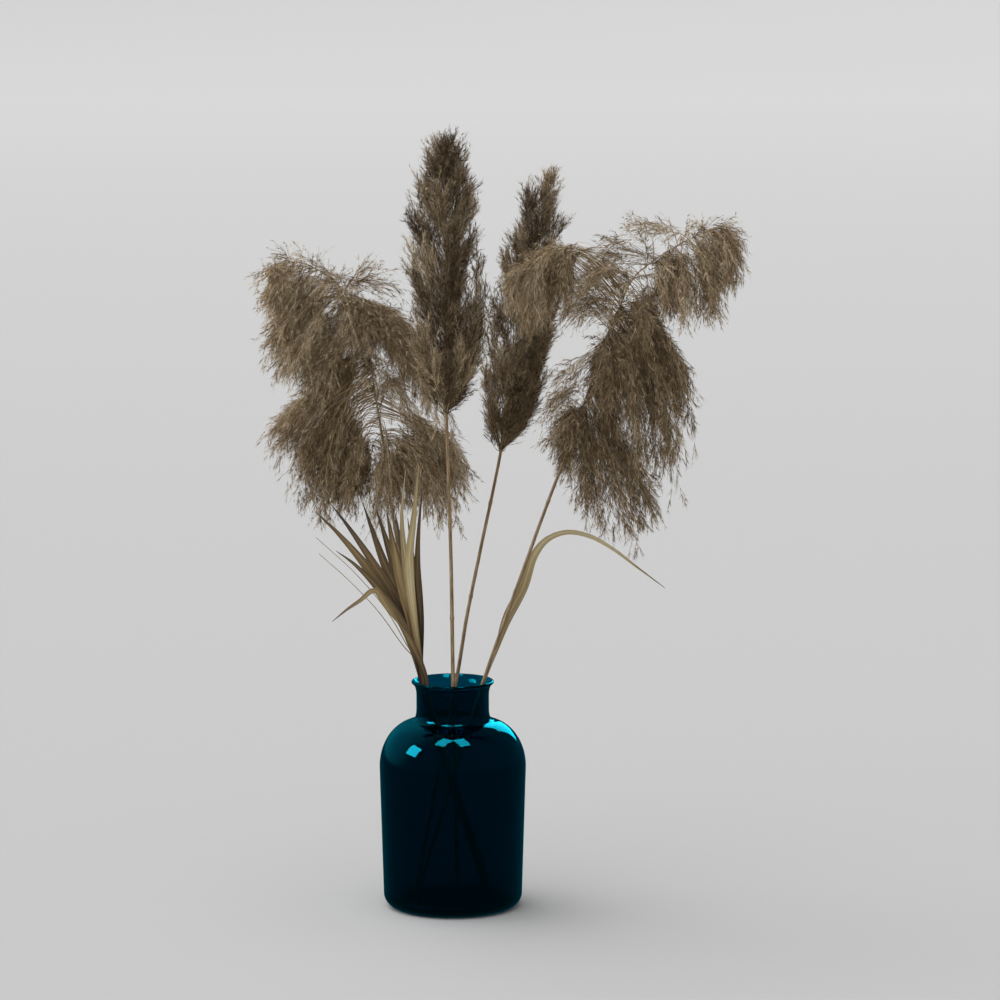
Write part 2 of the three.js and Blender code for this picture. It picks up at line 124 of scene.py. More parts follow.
# Rows of twigs that leave the axis between two shares of its length, bend past a row of points and end
# at a row of tips, in the same order and given as (x, z). depth is how far they reach to the front and
# to the back, shade how much darker the row is painted, as painted shade for a row that lies in shade,
# or paler below zero, as painted light for a row that is lit, bare the share of each twig that nothing
# grows on, and full the share of the usual branchlets and hairs that the row has.
ROWS = {
    "tall": [
        {"twigs": 40, "from": (0.0, 0.06), "bend": [(14, 520), (30, 535)],
         "tip": [(12, 610), (26, 640), (22, 690)], "depth": 14},
        {"twigs": 14, "from": (0.0, 0.03), "bend": [(-14, 530), (10, 525)],
         "tip": [(-30, 556), (-12, 560), (22, 556)], "depth": 22, "full": 0.6},
    ],
    "rear": [
        {"twigs": 28, "from": (0.1, 0.3), "bend": [(82, 536), (90, 560)],
         "tip": [(97, 566), (105, 590), (101, 616)], "depth": 14},
        {"twigs": 30, "from": (0.0, 0.05), "bend": [(70, 470), (84, 474)],
         "tip": [(84, 520), (98, 548), (94, 576)], "depth": 12, "full": 0.8},
    ],
    "right": [
        {"twigs": 110, "from": (0.1, 0.24),
         "bend": [(120, 506), (127, 488), (141, 466), (155, 462), (172, 476)],
         "tip": [(105, 476), (110, 442), (134, 394), (166, 378), (194, 384), (203, 424)], "depth": 32,
         "shade": 0.6},
        {"twigs": 180, "from": (0.38, 0.52),
         "bend": [(146, 570), (164, 560), (190, 554), (212, 560), (226, 576)],
         "tip": [(134, 528), (152, 478), (184, 434), (216, 426), (232, 470), (232, 526)], "depth": 34,
         "shade": 0.6},
        {"twigs": 26, "from": (0.1, 0.4), "bend": [(114, 520), (126, 548)],
         "tip": [(88, 488), (98, 516), (114, 548)], "depth": 28, "full": 0.5},
        {"twigs": 96, "from": (0.42, 0.62), "bend": [(54, 688), (80, 712), (110, 692)],
         "tip": [(64, 602), (76, 590), (92, 596), (108, 606)], "depth": 18, "bare": 0.45, "shade": 0.0},
        {"twigs": 46, "from": (0.46, 0.74), "bend": [(134, 604), (138, 634), (150, 652), (166, 668)],
         "tip": [(110, 580), (112, 610), (126, 632), (150, 664)], "depth": 28, "full": 0.6, "shade": 0.35},
        {"twigs": 14, "from": (0.7, 0.9), "bend": [(196, 672), (222, 688)],
         "tip": [(164, 676), (192, 688)], "depth": 22, "full": 0.5, "bare": 0.2},
        {"twigs": 26, "from": (0.5, 0.72), "bend": [(182, 606), (198, 612)],
         "tip": [(184, 574), (202, 588)], "depth": 26, "shade": 0.5},
        {"twigs": 120, "from": (0.72, 1.0),
         "bend": [(204, 640), (224, 646), (246, 654), (264, 670), (276, 684)],
         "tip": [(200, 616), (214, 596), (238, 592), (260, 598), (275, 620), (280, 648)], "depth": 32,
         "shade": 0.1, "full": 0.85},
    ],
    "left": [
        {"twigs": 80, "from": (0.62, 0.98), "bend": [(-146, 602), (-164, 620), (-178, 634)],
         "tip": [(-176, 568), (-178, 590), (-174, 610), (-166, 630)], "depth": 28, "full": 0.8,
         "shade": -0.2},
        {"twigs": 110, "from": (0.48, 0.82), "bend": [(-112, 568), (-132, 584), (-150, 602)],
         "tip": [(-136, 530), (-160, 542), (-180, 564)], "depth": 30, "shade": -0.15, "bare": 0.15},
        {"twigs": 56, "from": (0.42, 0.6), "bend": [(-98, 554), (-114, 568)],
         "tip": [(-112, 486), (-140, 508)], "depth": 28, "shade": 0.15, "bare": 0.35},
        {"twigs": 90, "from": (0.3, 0.5), "bend": [(-140, 474), (-140, 500), (-136, 520)],
         "tip": [(-144, 404), (-158, 434), (-171, 464), (-168, 492)], "depth": 28, "full": 0.85,
         "bare": 0.35, "shade": -0.1},
        {"twigs": 116, "from": (0.14, 0.44), "bend": [(-82, 480), (-104, 502), (-120, 520)],
         "tip": [(-92, 410), (-114, 402), (-138, 408)], "depth": 32, "shade": 0.5, "bare": 0.32},
        {"twigs": 96, "from": (0.46, 0.68), "bend": [(-72, 596), (-50, 606), (-30, 592)],
         "tip": [(-54, 550), (-34, 526), (-18, 498), (-10, 480)], "depth": 28},
        {"twigs": 50, "from": (0.48, 0.74), "bend": [(-66, 602), (-84, 610), (-104, 608)],
         "tip": [(-62, 566), (-84, 560), (-106, 564)], "depth": 30},
        {"twigs": 30, "from": (0.24, 0.5), "bend": [(-72, 548), (-56, 552), (-92, 540)],
         "tip": [(-54, 500), (-38, 474), (-84, 486)], "depth": 30, "full": 0.5},
        {"twigs": 110, "from": (0.06, 0.34), "bend": [(-54, 472), (-34, 476), (-18, 484), (0, 478)],
         "tip": [(-60, 406), (-36, 396), (-10, 384), (6, 390), (14, 422), (8, 454)], "depth": 28,
         "shade": 0.1, "bare": 0.15},
        {"twigs": 48, "from": (0.0, 0.26), "bend": [(-74, 466), (-54, 470)],
         "tip": [(-84, 386), (-52, 380)], "depth": 30, "full": 0.6, "shade": 0.3},
        {"twigs": 16, "from": (0.6, 0.8), "bend": [(-104, 636), (-84, 628), (-70, 614)],
         "tip": [(-94, 642), (-66, 636), (-48, 618), (-48, 602)], "depth": 22, "full": 0.5},
    ],
}

# Shares of the drooping axes that short twigs cover on all sides, and how many
COVER = {"right": (0.1, 1.0, 70), "left": (0.3, 0.93, 80)}

# The fan of blades: points are (x, z) above the lip, and lean is the y of the tip. LIP_SHARE is about
# where along a blade the lip is.
LIP_SHARE = 0.48
SHEATH_WIDTH = 3.2
TIP_WIDTH = 0.5
BLADE_THICKNESS = 0.3
BLADE_COLUMNS = 8
FAN_FRONT = -17.5
FAN_PITCH = 2.2
FAN_REACH = 29.4
FAN_FOOT = 34
FAN = [
    {"name": "folded", "bleach": 0.1, "width": 8, "lean": -58, "fold_at": 0.75,
     "above": [(-46, 280), (-66, 312), (-75, 325), (-80, 324), (-88, 317), (-103, 307), (-117, 296)]},
    {"name": "pale_tall", "bleach": 0.18, "pale": True, "width": 9, "lean": -52,
     "above": [(-37, 290), (-42, 352), (-37, 400), (-32, 450)]},
    {"name": "pale_inner", "bleach": 0.1, "pale": True, "width": 8, "lean": -48,
     "above": [(-38, 286), (-46, 350), (-49, 400), (-45, 444)]},
    {"name": "edge", "bleach": -0.08, "width": 7, "lean": -44,
     "above": [(-31, 290), (-34, 350), (-32, 392), (-29, 422)]},
    {"name": "broad_front", "bleach": 0.08, "width": 13, "lean": -40,
     "above": [(-39, 290), (-52, 340), (-60, 380), (-64, 404)]},
    {"name": "broad_middle", "bleach": 0.04, "width": 13, "lean": -36,
     "above": [(-40, 294), (-56, 344), (-68, 384), (-74, 404)]},
    {"name": "low_left", "bleach": 0.08, "width": 9, "lean": -30,
     "above": [(-48, 284), (-74, 324), (-96, 348), (-114, 362)]},
    {"name": "far_left", "bleach": 0.0, "width": 11, "lean": -26,
     "above": [(-50, 290), (-82, 341), (-112, 378), (-134, 400)]},
    {"name": "dark_left", "bleach": -0.08, "width": 10, "lean": -22,
     "above": [(-46, 290), (-76, 344), (-102, 384), (-119, 407)]},
    {"name": "middle_left", "bleach": 0.08, "width": 11, "lean": -18,
     "above": [(-43, 292), (-66, 344), (-80, 384), (-88, 408)]},
    {"name": "broad_inner", "bleach": -0.04, "width": 12, "lean": -14,
     "above": [(-36, 292), (-46, 344), (-54, 384), (-57, 400)]},
    {"name": "back_edge", "bleach": -0.1, "width": 9, "lean": -10,
     "above": [(-34, 290), (-37, 330), (-41, 366), (-44, 392)]},
]
STRAWS = [
    {"name": "straw_long", "lean": 16, "above": [(-44, 258), (-66, 296), (-98, 334), (-136, 369)]},
    {"name": "straw_short", "lean": 19, "above": [(-48, 258), (-74, 294), (-102, 324), (-133, 352)]},
]
STRAW_RADIUS = 0.9
ARCHED_BLADE = [
    (-38, -32.5, STANDING_HEIGHT), (27, -4.4, 216), (43, -2, 258), (54, -2, 290), (70, -2, 322),
    (80.5, -3, 353), (93.5, -4, 369.5), (113, -5, 377), (136, -6, 373), (158, -7, 361), (182, -8, 343),
    (210, -9, 322),
]


def mix(a, b, t):
    return a + (b - a) * t


def smoothstep(x, low, high):
    t = np.clip((x - low) / (high - low), 0, 1)
    return t * t * (3 - 2 * t)


def unit(v):
    return v / np.maximum(np.linalg.norm(v, axis=-1, keepdims=True), 1e-9)


# A smooth line through points, as evenly spaced points with their directions
def smooth_line(points, count):
    p = np.array(points, float)
    p = np.vstack([2 * p[0] - p[1], p, 2 * p[-1] - p[-2]])
    fine = []
    for p0, p1, p2, p3 in zip(p, p[1:], p[2:], p[3:]):
        d0, d1, d2 = (math.sqrt(np.linalg.norm(b - a)) for a, b in ((p0, p1), (p1, p2), (p2, p3)))
        start = ((p1 - p0) / d0 - (p2 - p0) / (d0 + d1) + (p2 - p1) / d1) * d1
        end = ((p2 - p1) / d1 - (p3 - p1) / (d1 + d2) + (p3 - p2) / d2) * d1
        t = np.linspace(0, 1, 60, endpoint=False)[:, None]
        cubic = (2 * p1 - 2 * p2 + start + end) * t**3 + (3 * p2 - 3 * p1 - 2 * start - end) * t**2
        fine.append(cubic + start * t + p1)
    fine.append(p[-2][None])
    fine = np.vstack(fine)
    run = np.concatenate([[0], np.cumsum(np.linalg.norm(np.diff(fine, axis=0), axis=1))])
    even = np.linspace(0, run[-1], count)
    line = np.stack([np.interp(even, run, fine[:, k]) for k in range(3)], 1)
    return line, unit(np.gradient(line, axis=0))


# The point of a line at each share of its length
def along(line, shares):
    at = np.clip(shares, 0, 1) * (len(line) - 1)
    return np.stack([np.interp(at, np.arange(len(line)), line[:, k]) for k in range(3)], -1)


def mesh_object(name, vertices, faces):
    mesh = bpy.data.meshes.new(name)
    mesh.from_pydata((np.asarray(vertices, float) * MM).tolist(), [], faces)
    mesh.polygons.foreach_set("use_smooth", [True] * len(mesh.polygons))
    mesh.update()
    piece = bpy.data.objects.new(name, mesh)
    bpy.context.scene.collection.objects.link(piece)
    return piece


# Gives a piece its finish, hangs it on the root, and hides the solid that it takes the place of
def settle(piece, node, material):
    piece.data.materials.append(material)
    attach(piece, "root")
    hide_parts(node)
    return piece


# Colours and materials
def colour(code):
    parts = [int(code[i:i + 2], 16) / 255 for i in (1, 3, 5)]
    return tuple(c / 12.92 if c <= 0.04045 else ((c + 0.055) / 1.055) ** 2.4 for c in parts) + (1.0,)


# Adds a node, sets its properties and sockets, and links other nodes' sockets into it
def add_node(material, kind, settings=None, sockets=None, links=None):
    node = material.node_tree.nodes.new(kind)
    for key, value in (settings or {}).items():
        setattr(node, key, value)
    for key, value in (sockets or {}).items():
        node.inputs[key].default_value = value
    for key, source in (links or {}).items():
        material.node_tree.links.new(source, node.inputs[key])
    return node


def new_material(name):
    material = bpy.data.materials.new(name)
    material.use_nodes = True
    material.node_tree.nodes.clear()
    return material


def ramp_stops(node, stops):
    ramp = node.color_ramp
    while len(ramp.elements) < len(stops):
        ramp.elements.new(0.5)
    for element, (place, code) in zip(ramp.elements, stops):
        element.position = place
        element.color = colour(code)


def finish_material(material, shader):
    add_node(material, "ShaderNodeOutputMaterial", links={"Surface": shader.outputs[0]})
    return material


# Soda-lime glass, coloured dark teal in the melt and blown into a mould: a clear, hard gloss, and a
# faint waviness that bends the highlights
def blown_glass():
    material = new_material("blown_glass")
    place = add_node(material, "ShaderNodeTexCoord")
    waves = add_node(
        material, "ShaderNodeTexNoise", sockets={"Scale": 22.0, "Detail": 1.0},
        links={"Vector": place.outputs["Object"]},
    )
    bump = add_node(
        material, "ShaderNodeBump", sockets={"Strength": 0.05, "Distance": 0.002},
        links={"Height": waves.outputs["Fac"]},
    )
    shader = add_node(
        material, "ShaderNodeBsdfGlass",
        sockets={"Color": colour("#0e8297"), "Roughness": 0.0, "IOR": 1.5},
        links={"Normal": bump.outputs["Normal"]},
    )
    return finish_material(material, shader)


# Dried reed culm: a hard straw skin with a slight gloss, streaked lengthwise from tan to brown
def dried_culm():
    material = new_material("dried_culm")
    place = add_node(material, "ShaderNodeAttribute", settings={"attribute_name": "grain"})
    streaks = add_node(
        material, "ShaderNodeTexNoise", sockets={"Scale": 1.0, "Detail": 5.0, "Roughness": 0.6},
        links={"Vector": place.outputs["Vector"]},
    )
    tone = add_node(material, "ShaderNodeValToRGB", links={"Fac": streaks.outputs["Fac"]})
    ramp_stops(tone, [(0.3, "#493322"), (0.5, "#8e744c"), (0.7, "#c9ae85")])
    bump = add_node(
        material, "ShaderNodeBump", sockets={"Strength": 0.35, "Distance": 0.0003},
        links={"Height": streaks.outputs["Fac"]},
    )
    shader = add_node(
        material, "ShaderNodeBsdfPrincipled", sockets={"Roughness": 0.55},
        links={"Base Color": tone.outputs["Color"], "Normal": bump.outputs["Normal"]},
    )
    return finish_material(material, shader)


# Dried grass blade: a papery skin with parallel veins, mottled where it has bleached
def dried_blade(name, stops):
    material = new_material(name)
    place = add_node(material, "ShaderNodeAttribute", settings={"attribute_name": "grain"})
    streaks = add_node(
        material, "ShaderNodeTexNoise", sockets={"Scale": 1.0, "Detail": 4.0, "Roughness": 0.65},
        links={"Vector": place.outputs["Vector"]},
    )
    own = add_node(material, "ShaderNodeAttribute", settings={"attribute_name": "bleach"})
    mixed = add_node(
        material, "ShaderNodeMath", settings={"operation": "MULTIPLY_ADD"}, sockets={1: 0.9},
        links={0: streaks.outputs["Fac"], 2: own.outputs["Fac"]},
    )
    tone = add_node(material, "ShaderNodeValToRGB", links={"Fac": mixed.outputs["Value"]})
    ramp_stops(tone, stops)
    bump = add_node(
        material, "ShaderNodeBump", sockets={"Strength": 0.6, "Distance": 0.0004},
        links={"Height": streaks.outputs["Fac"]},
    )
    shader = add_node(
        material, "ShaderNodeBsdfPrincipled", sockets={"Roughness": 0.6},
        links={"Base Color": tone.outputs["Color"], "Normal": bump.outputs["Normal"]},
    )
    return finish_material(material, shader)


# Dried reed flower: matt silky hairs on brown branchlets, darker where they grow and paler at the tips
def dried_plume(name, stops):
    material = new_material(name)
    strand = add_node(material, "ShaderNodeAttribute", settings={"attribute_name": "strand"})
    parts = add_node(material, "ShaderNodeSeparateColor", links={"Color": strand.outputs["Color"]})
    own = add_node(
        material, "ShaderNodeMath", settings={"operation": "MULTIPLY"}, sockets={1: 0.36},
        links={0: parts.outputs["Green"]},
    )
    twig = add_node(
        material, "ShaderNodeMath", settings={"operation": "MULTIPLY_ADD"}, sockets={1: 0.44},
        links={0: parts.outputs["Blue"], 2: own.outputs["Value"]},
    )
    tip = add_node(
        material, "ShaderNodeMath", settings={"operation": "MULTIPLY_ADD"}, sockets={1: 0.2},
        links={0: parts.outputs["Red"], 2: twig.outputs["Value"]},
    )
    tone = add_node(material, "ShaderNodeValToRGB", links={"Fac": tip.outputs["Value"]})
    ramp_stops(tone, stops)
    shader = add_node(
        material, "ShaderNodeBsdfPrincipled", sockets={"Roughness": 0.75, "Specular IOR Level": 0.3},
        links={"Base Color": tone.outputs["Color"]},
    )
    return finish_material(material, shader)


# Painted board of the studio sweep, matt, with painted light that makes it a little paler the further back
# it lies
def painted_board():
    material = new_material("painted_board")
    place = add_node(material, "ShaderNodeTexCoord")
    axes = add_node(material, "ShaderNodeSeparateXYZ", links={"Vector": place.outputs["Object"]})
    # Painted light: the board's colour grows paler with distance back, for how the studio light falls on it
    back = add_node(
        material, "ShaderNodeMapRange", sockets={"From Min": -0.5, "From Max": 29.5},
        links={"Value": axes.outputs["Y"]},
    )
    tone = add_node(material, "ShaderNodeValToRGB", links={"Fac": back.outputs["Result"]})
    ramp_stops(tone, [(0.0, "#c8c8c8"), (0.12, "#cbcbcb"), (0.27, "#cfcfcf"), (0.92, "#d8d8d8")])
    shader = add_node(
        material, "ShaderNodeBsdfPrincipled", sockets={"Roughness": 1.0, "Specular IOR Level": 0.0},
        links={"Base Color": tone.outputs["Color"]},
    )
    return finish_material(material, shader)


# Vase
def arc(centre, radii, start, end, steps):
    turns = np.linspace(start, end, steps)
    return [(centre[0] + radii[0] * math.cos(a), centre[1] + radii[1] * math.sin(a)) for a in turns]


def easing(start, corner, end, steps):
    t = np.linspace(0, 1, steps)[:, None]
    start, corner, end = (np.array(p, float) for p in (start, corner, end))
    return [tuple(p) for p in start * (1 - t) ** 2 + corner * 2 * t * (1 - t) + end * t**2]


def vase_profile():
    shoulder = (BODY_RADIUS - NECK_RADIUS, SHOULDER_RISE)
    foot_flat = FOOT_RADIUS - FOOT_ROUNDING
    inside_neck = NECK_RADIUS - WALL
    top = SHOULDER_HEIGHT + SHOULDER_RISE
    outer = [(0, 0.8), (foot_flat - 8, 0.8)]
    outer += easing((foot_flat - 5, 0.2), (foot_flat - 3, 0), (foot_flat, 0), 4)
    outer += arc((foot_flat, FOOT_ROUNDING), (FOOT_ROUNDING,) * 2, -math.pi / 2, 0, 12)
    outer += arc((NECK_RADIUS, SHOULDER_HEIGHT), shoulder, 0, SHOULDER_TURN, 26)
    outer += easing(outer[-1], (NECK_RADIUS, top), (NECK_RADIUS, NECK_FOOT), 8)[1:]
    bead = (LIP_RADIUS - LIP_BEAD, VASE_HEIGHT - LIP_BEAD)
    outer += easing((NECK_RADIUS, LIP_START), (NECK_RADIUS, LIP_BEND), (bead[0], 224.5), 8)
    outer += arc(bead, (LIP_BEAD, LIP_BEAD), -math.pi / 3, math.pi * 0.8, 9)
    inner = easing((bead[0] - 2.2, 226), (inside_neck, LIP_BEND), (inside_neck, LIP_START), 8)
    inner += easing((inside_neck, NECK_FOOT), (inside_neck, top - WALL), (NECK_RADIUS + 1, top - WALL), 8)
    thinner = (shoulder[0] - WALL, shoulder[1] - WALL)
    inner += arc((NECK_RADIUS, SHOULDER_HEIGHT), thinner, SHOULDER_TURN, 0, 22)
    rounding = FOOT_ROUNDING - WALL
    inner += arc((foot_flat, FLOOR_THICKNESS + rounding), (rounding,) * 2, 0, -math.pi / 2, 10)
    inner += [(foot_flat - 10, FLOOR_THICKNESS - 0.4), (foot_flat / 2, FLOOR_THICKNESS - 1), (0, 6)]
    return outer + inner


def build_vase():
    profile = vase_profile()
    rings = profile[1:-1]
    turns = np.arange(VASE_SIDES) * 2 * math.pi / VASE_SIDES
    vertices = [(r * math.cos(a), r * math.sin(a), z) for r, z in rings for a in turns]
    bottom = len(vertices)
    vertices += [(0, 0, profile[0][1]), (0, 0, profile[-1][1])]
    faces = []
    for ring in range(len(rings) - 1):
        for i in range(VASE_SIDES):
            j = (i + 1) % VASE_SIDES
            low, high = ring * VASE_SIDES, (ring + 1) * VASE_SIDES
            faces.append((low + i, low + j, high + j, high + i))
    last = (len(rings) - 1) * VASE_SIDES
    for i in range(VASE_SIDES):
        j = (i + 1) % VASE_SIDES
        faces.append((bottom, j, i))
        faces.append((bottom + 1, last + i, last + j))
    vase = mesh_object("vase_glass", vertices, faces)
    return settle(vase, "vase", blown_glass())


# Lengths of plant, in millimetres, that one step of the grain's noise takes
ROD_STREAK = 18
BLADE_STREAK = 70


# Gives each vertex a place in the grain: along the plant, and around or across it
def set_grain(piece, values):
    grain = piece.data.attributes.new("grain", "FLOAT_VECTOR", "POINT")
    grain.data.foreach_set("vector", np.asarray(values, np.float32).ravel())


# How bleached each vertex is
def set_bleach(piece, values):
    bleach = piece.data.attributes.new("bleach", "FLOAT", "POINT")
    bleach.data.foreach_set("value", np.asarray(values, np.float32))


# Two directions across a line at each of its points, carried along it without a twist
def side_frames(directions):
    sides = []
    side = np.array([0.0, -1.0, 0.0])
    for d in directions:
        side = unit(side - d * np.dot(side, d))
        sides.append(side)
    sides = np.array(sides)
    return sides, np.cross(directions, sides)


# A round rod along a line, with a radius for each of its points
def rod_object(name, line, directions, radii, seed, sides=12):
    across, over = side_frames(directions)
    angles = np.arange(sides) * 2 * math.pi / sides
    ring = across[:, None] * np.cos(angles)[None, :, None] + over[:, None] * np.sin(angles)[None, :, None]
    vertices = (line[:, None] + ring * radii[:, None, None]).reshape(-1, 3)
    count = len(line)
    faces = [
        (i * sides + k, i * sides + (k + 1) % sides, (i + 1) * sides + (k + 1) % sides, (i + 1) * sides + k)
        for i in range(count - 1) for k in range(sides)
    ]
    faces.append(tuple(range(sides - 1, -1, -1)))
    faces.append(tuple((count - 1) * sides + k for k in range(sides)))
    piece = mesh_object(name, vertices, faces)
    run = np.linalg.norm(np.diff(line, axis=0), axis=1).sum() * np.linspace(0, 1, count)
    grain = np.zeros((count, sides, 3))
    grain[..., 0] = np.cos(angles) * 1.6 + seed
    grain[..., 1] = np.sin(angles) * 1.6
    grain[..., 2] = run[:, None] / ROD_STREAK
    set_grain(piece, grain)
    return piece


# The line of a reed with its directions, and the step of it where the plume begins
def reed_line(name):
    reed = REEDS[name]
    line, directions = smooth_line(reed["points"], REED_STEPS)
    fork = np.array(reed["points"][reed["plume_from"]], float)
    forked = int(np.argmin(np.linalg.norm(line - fork, axis=1)))
    return line, directions, forked


def build_culm(name, order, material):
    line, directions, forked = reed_line(name)
    line, directions = line[: forked + 1], directions[: forked + 1]
    share = np.linspace(0, 1, len(line))
    height = line[:, 2]
    radii = mix(CULM_RADIUS, AXIS_RADIUS, share)
    for joint in (96 + order * 9, 188 + order * 7, 296 + order * 11, 392 + order * 8):
        radii = radii + JOINT_SWELL * np.exp(-(((height - joint) / JOINT_LENGTH) ** 2))
    culm = rod_object(f"culm_{name}", line, directions, radii, seed=order * 7.0)
    return settle(culm, f"stem_{name}", material)


CLUMP_SIZE = 7


# The points of a row of (x, z) pairs at shares of its steps
def row_points(row, shares):
    p = np.array(row, float)
    p = np.vstack([2 * p[0] - p[1], p, 2 * p[-1] - p[-2]])
    at = shares * (len(row) - 1)
    i = np.minimum(at.astype(int), len(row) - 2)
    t = (at - i)[:, None]
    a, b, c, d = p[i], p[i + 1], p[i + 2], p[i + 3]
    return 0.5 * (2 * b + (c - a) * t + (2 * a - 5 * b + 4 * c - d) * t**2 + (3 * b - a - 3 * c + d) * t**3)


# Puts twigs into clumps of about seven: each twig's clump, how many clumps there are, and a function
# that draws a random number for each twig, the same one all through a clump
def clumps_of(rng, count):
    clumps = max(2, count // CLUMP_SIZE)
    return np.arange(count) % clumps, clumps, lambda: rng.random(clumps)[np.arange(count) % clumps]


# Roots, bends, tips and tones of the twigs of a row
def row_twigs(rng, axis, row, count):
    which, clumps, shared = clumps_of(rng, count)
    shares = np.clip((which + 0.5 + rng.normal(0, 0.35, count)) / clumps, 0, 1)
    root = along(axis, mix(*row["from"], np.clip(shares + rng.normal(0, 0.12, count), 0, 1)))
    depth = row["depth"] * (2 * shared() - 1 + rng.normal(0, 0.16, count))
    drift = np.stack([shared() - 0.5, shared() - 0.5], 1) * 14
    places = []
    for points, scale in ((row["bend"], 0.6), (row["tip"], 1.0)):
        xz = row_points(points, shares) + drift * scale + rng.normal(0, 3, (count, 2))
        places.append(np.stack([xz[:, 0], root[:, 1] + depth * scale, xz[:, 1]], 1))
    bend, tip = places
    tip = root + (tip - root) * (0.86 + 0.2 * shared())[:, None]
    # shade is painted shade: it darkens the tones of a row that lies in shade, and below zero it pales a
    # row that is lit, as painted light
    tone = (shared() * 0.5 + rng.random(count) * 0.5) * (1 - row.get("shade", 0))
    return root, bend, tip, tone


# Short twigs on all sides of a stretch of an axis, leaning the way it grows
def cover_twigs(rng, axis, directions, low, high, count):
    shares = rng.uniform(low, high, count)
    root, way = along(axis, shares), along(directions, shares)
    lean = splay(rng, way, np.radians(rng.uniform(15, 70, count)))
    reach = rng.uniform(10, 24, (count, 1))
    bend = root + lean * reach * 0.6
    tip = root + lean * reach - UP * reach * 0.35
    return root, bend, tip, rng.random(count)


# Roots, bends, tips and tones of the twigs that spiral up an upright plume
def spire_twigs(rng, axis, spec):
    count = spec["twigs"]
    which, clumps, shared = clumps_of(rng, count)
    whole = np.linalg.norm(np.diff(axis, axis=0), axis=1).sum()
    height = np.clip((which + 0.5 + rng.normal(0, 0.5, count)) / clumps, 0, 1)
    turn = which * GOLDEN_TURN + rng.normal(0, 0.22, count)
    length = mix(spec["longest"], spec["shortest"], height) * rng.uniform(0.7, 1, count)
    tip_along = mix(spec["first"], whole - 2, height)
    shares, radii = zip(*spec["outline"])
    away = np.interp(tip_along / whole, shares, radii) * np.sqrt(mix(0.3, 1, shared()))
    away = away * rng.uniform(0.8, 1.05, count)
    low, high = spec["gap"]
    middle = tip_along / whole - 0.12
    hollow = smoothstep(middle, low - 0.1, low) * (1 - smoothstep(middle, high, high + 0.1))
    away = away * (1 - 0.5 * hollow * smoothstep(np.cos(turn), 0.1, 0.5))
    out = np.stack([np.cos(turn), np.sin(turn), np.zeros(count)], 1) * away[:, None]
    root = along(axis, np.clip((tip_along - length) / whole, 0.0, 0.93))
    bend = along(axis, (tip_along - length * 0.45) / whole) + out * 0.7
    tip = along(axis, tip_along / whole) + out
    return root, bend, tip, shared() * 0.6 + rng.random(count) * 0.4


# Collects thin strands and makes one mesh of them. A strand is a ribbon that ends in a point, and
# carries its share of its length, a number of its own and the tone of the twig it grows from.
class Fluff:
    def __init__(self, rng):
        self.rng = rng
        self.vertices = []
        self.triangles = []
        self.tones = []
        self.count = 0

    def ribbons(self, paths, widths, tones, breadths=None):
        n, k, _ = paths.shape
        tangents = unit(np.gradient(paths, axis=1))
        side = unit(np.cross(tangents, self.rng.normal(size=(n, 1, 3))))
        half = (np.asarray(widths)[None, :k - 1, None] * 0.5) * side[:, :-1]
        if breadths is not None:
            half = half * breadths[:, None, None]
        left, right = paths[:, :-1] - half, paths[:, :-1] + half
        vertices = np.concatenate([np.stack([left, right], 2).reshape(n, -1, 3), paths[:, -1:]], 1)
        per = 2 * (k - 1) + 1
        cells = [(2 * i, 2 * i + 1, 2 * i + 3) for i in range(k - 2)]
        cells += [(2 * i, 2 * i + 3, 2 * i + 2) for i in range(k - 2)]
        cells += [(2 * (k - 2), 2 * (k - 2) + 1, 2 * (k - 1))]
        triangles = np.array(cells)[None] + (np.arange(n) * per + self.count)[:, None, None]
        share = np.repeat(np.linspace(0, 1, k), 2)[:per]
        tone = np.empty((n, per, 4), np.float32)
        tone[..., 0] = share
        tone[..., 1] = self.rng.random((n, 1))
        tone[..., 2] = np.asarray(tones)[:, None]
        tone[..., 3] = 1
        self.vertices.append(vertices.reshape(-1, 3))
        self.triangles.append(triangles.reshape(-1, 3))
        self.tones.append(tone.reshape(-1, 4))
        self.count += n * per

    def piece(self, name):
        vertices = np.concatenate(self.vertices).astype(np.float32) * MM
        triangles = np.concatenate(self.triangles).astype(np.int32)
        mesh = bpy.data.meshes.new(name)
        mesh.vertices.add(len(vertices))
        mesh.vertices.foreach_set("co", vertices.ravel())
        mesh.loops.add(triangles.size)
        mesh.loops.foreach_set("vertex_index", triangles.ravel())
        mesh.polygons.add(len(triangles))
        mesh.polygons.foreach_set("loop_start", np.arange(0, triangles.size, 3, dtype=np.int32))
        mesh.update(calc_edges=True)
        strand = mesh.attributes.new("strand", "FLOAT_COLOR", "POINT")
        strand.data.foreach_set("color", np.concatenate(self.tones).ravel())
        piece = bpy.data.objects.new(name, mesh)
        bpy.context.scene.collection.objects.link(piece)
        return piece


# Turns each direction by an angle towards a random side
def splay(rng, directions, angles):
    side = unit(np.cross(directions, rng.normal(size=directions.shape)))
    return unit(directions * np.cos(angles)[..., None] + side * np.sin(angles)[..., None])


# Points of bending paths: straight on from a start, and falling away the further they go
def bending(starts, directions, lengths, fall, steps):
    t = np.linspace(0, 1, steps)[:, None]
    reach = lengths[..., None, None] * t
    drop = (lengths * fall)[..., None, None] * t**2 * -UP
    return starts[..., None, :] + directions[..., None, :] * reach + drop


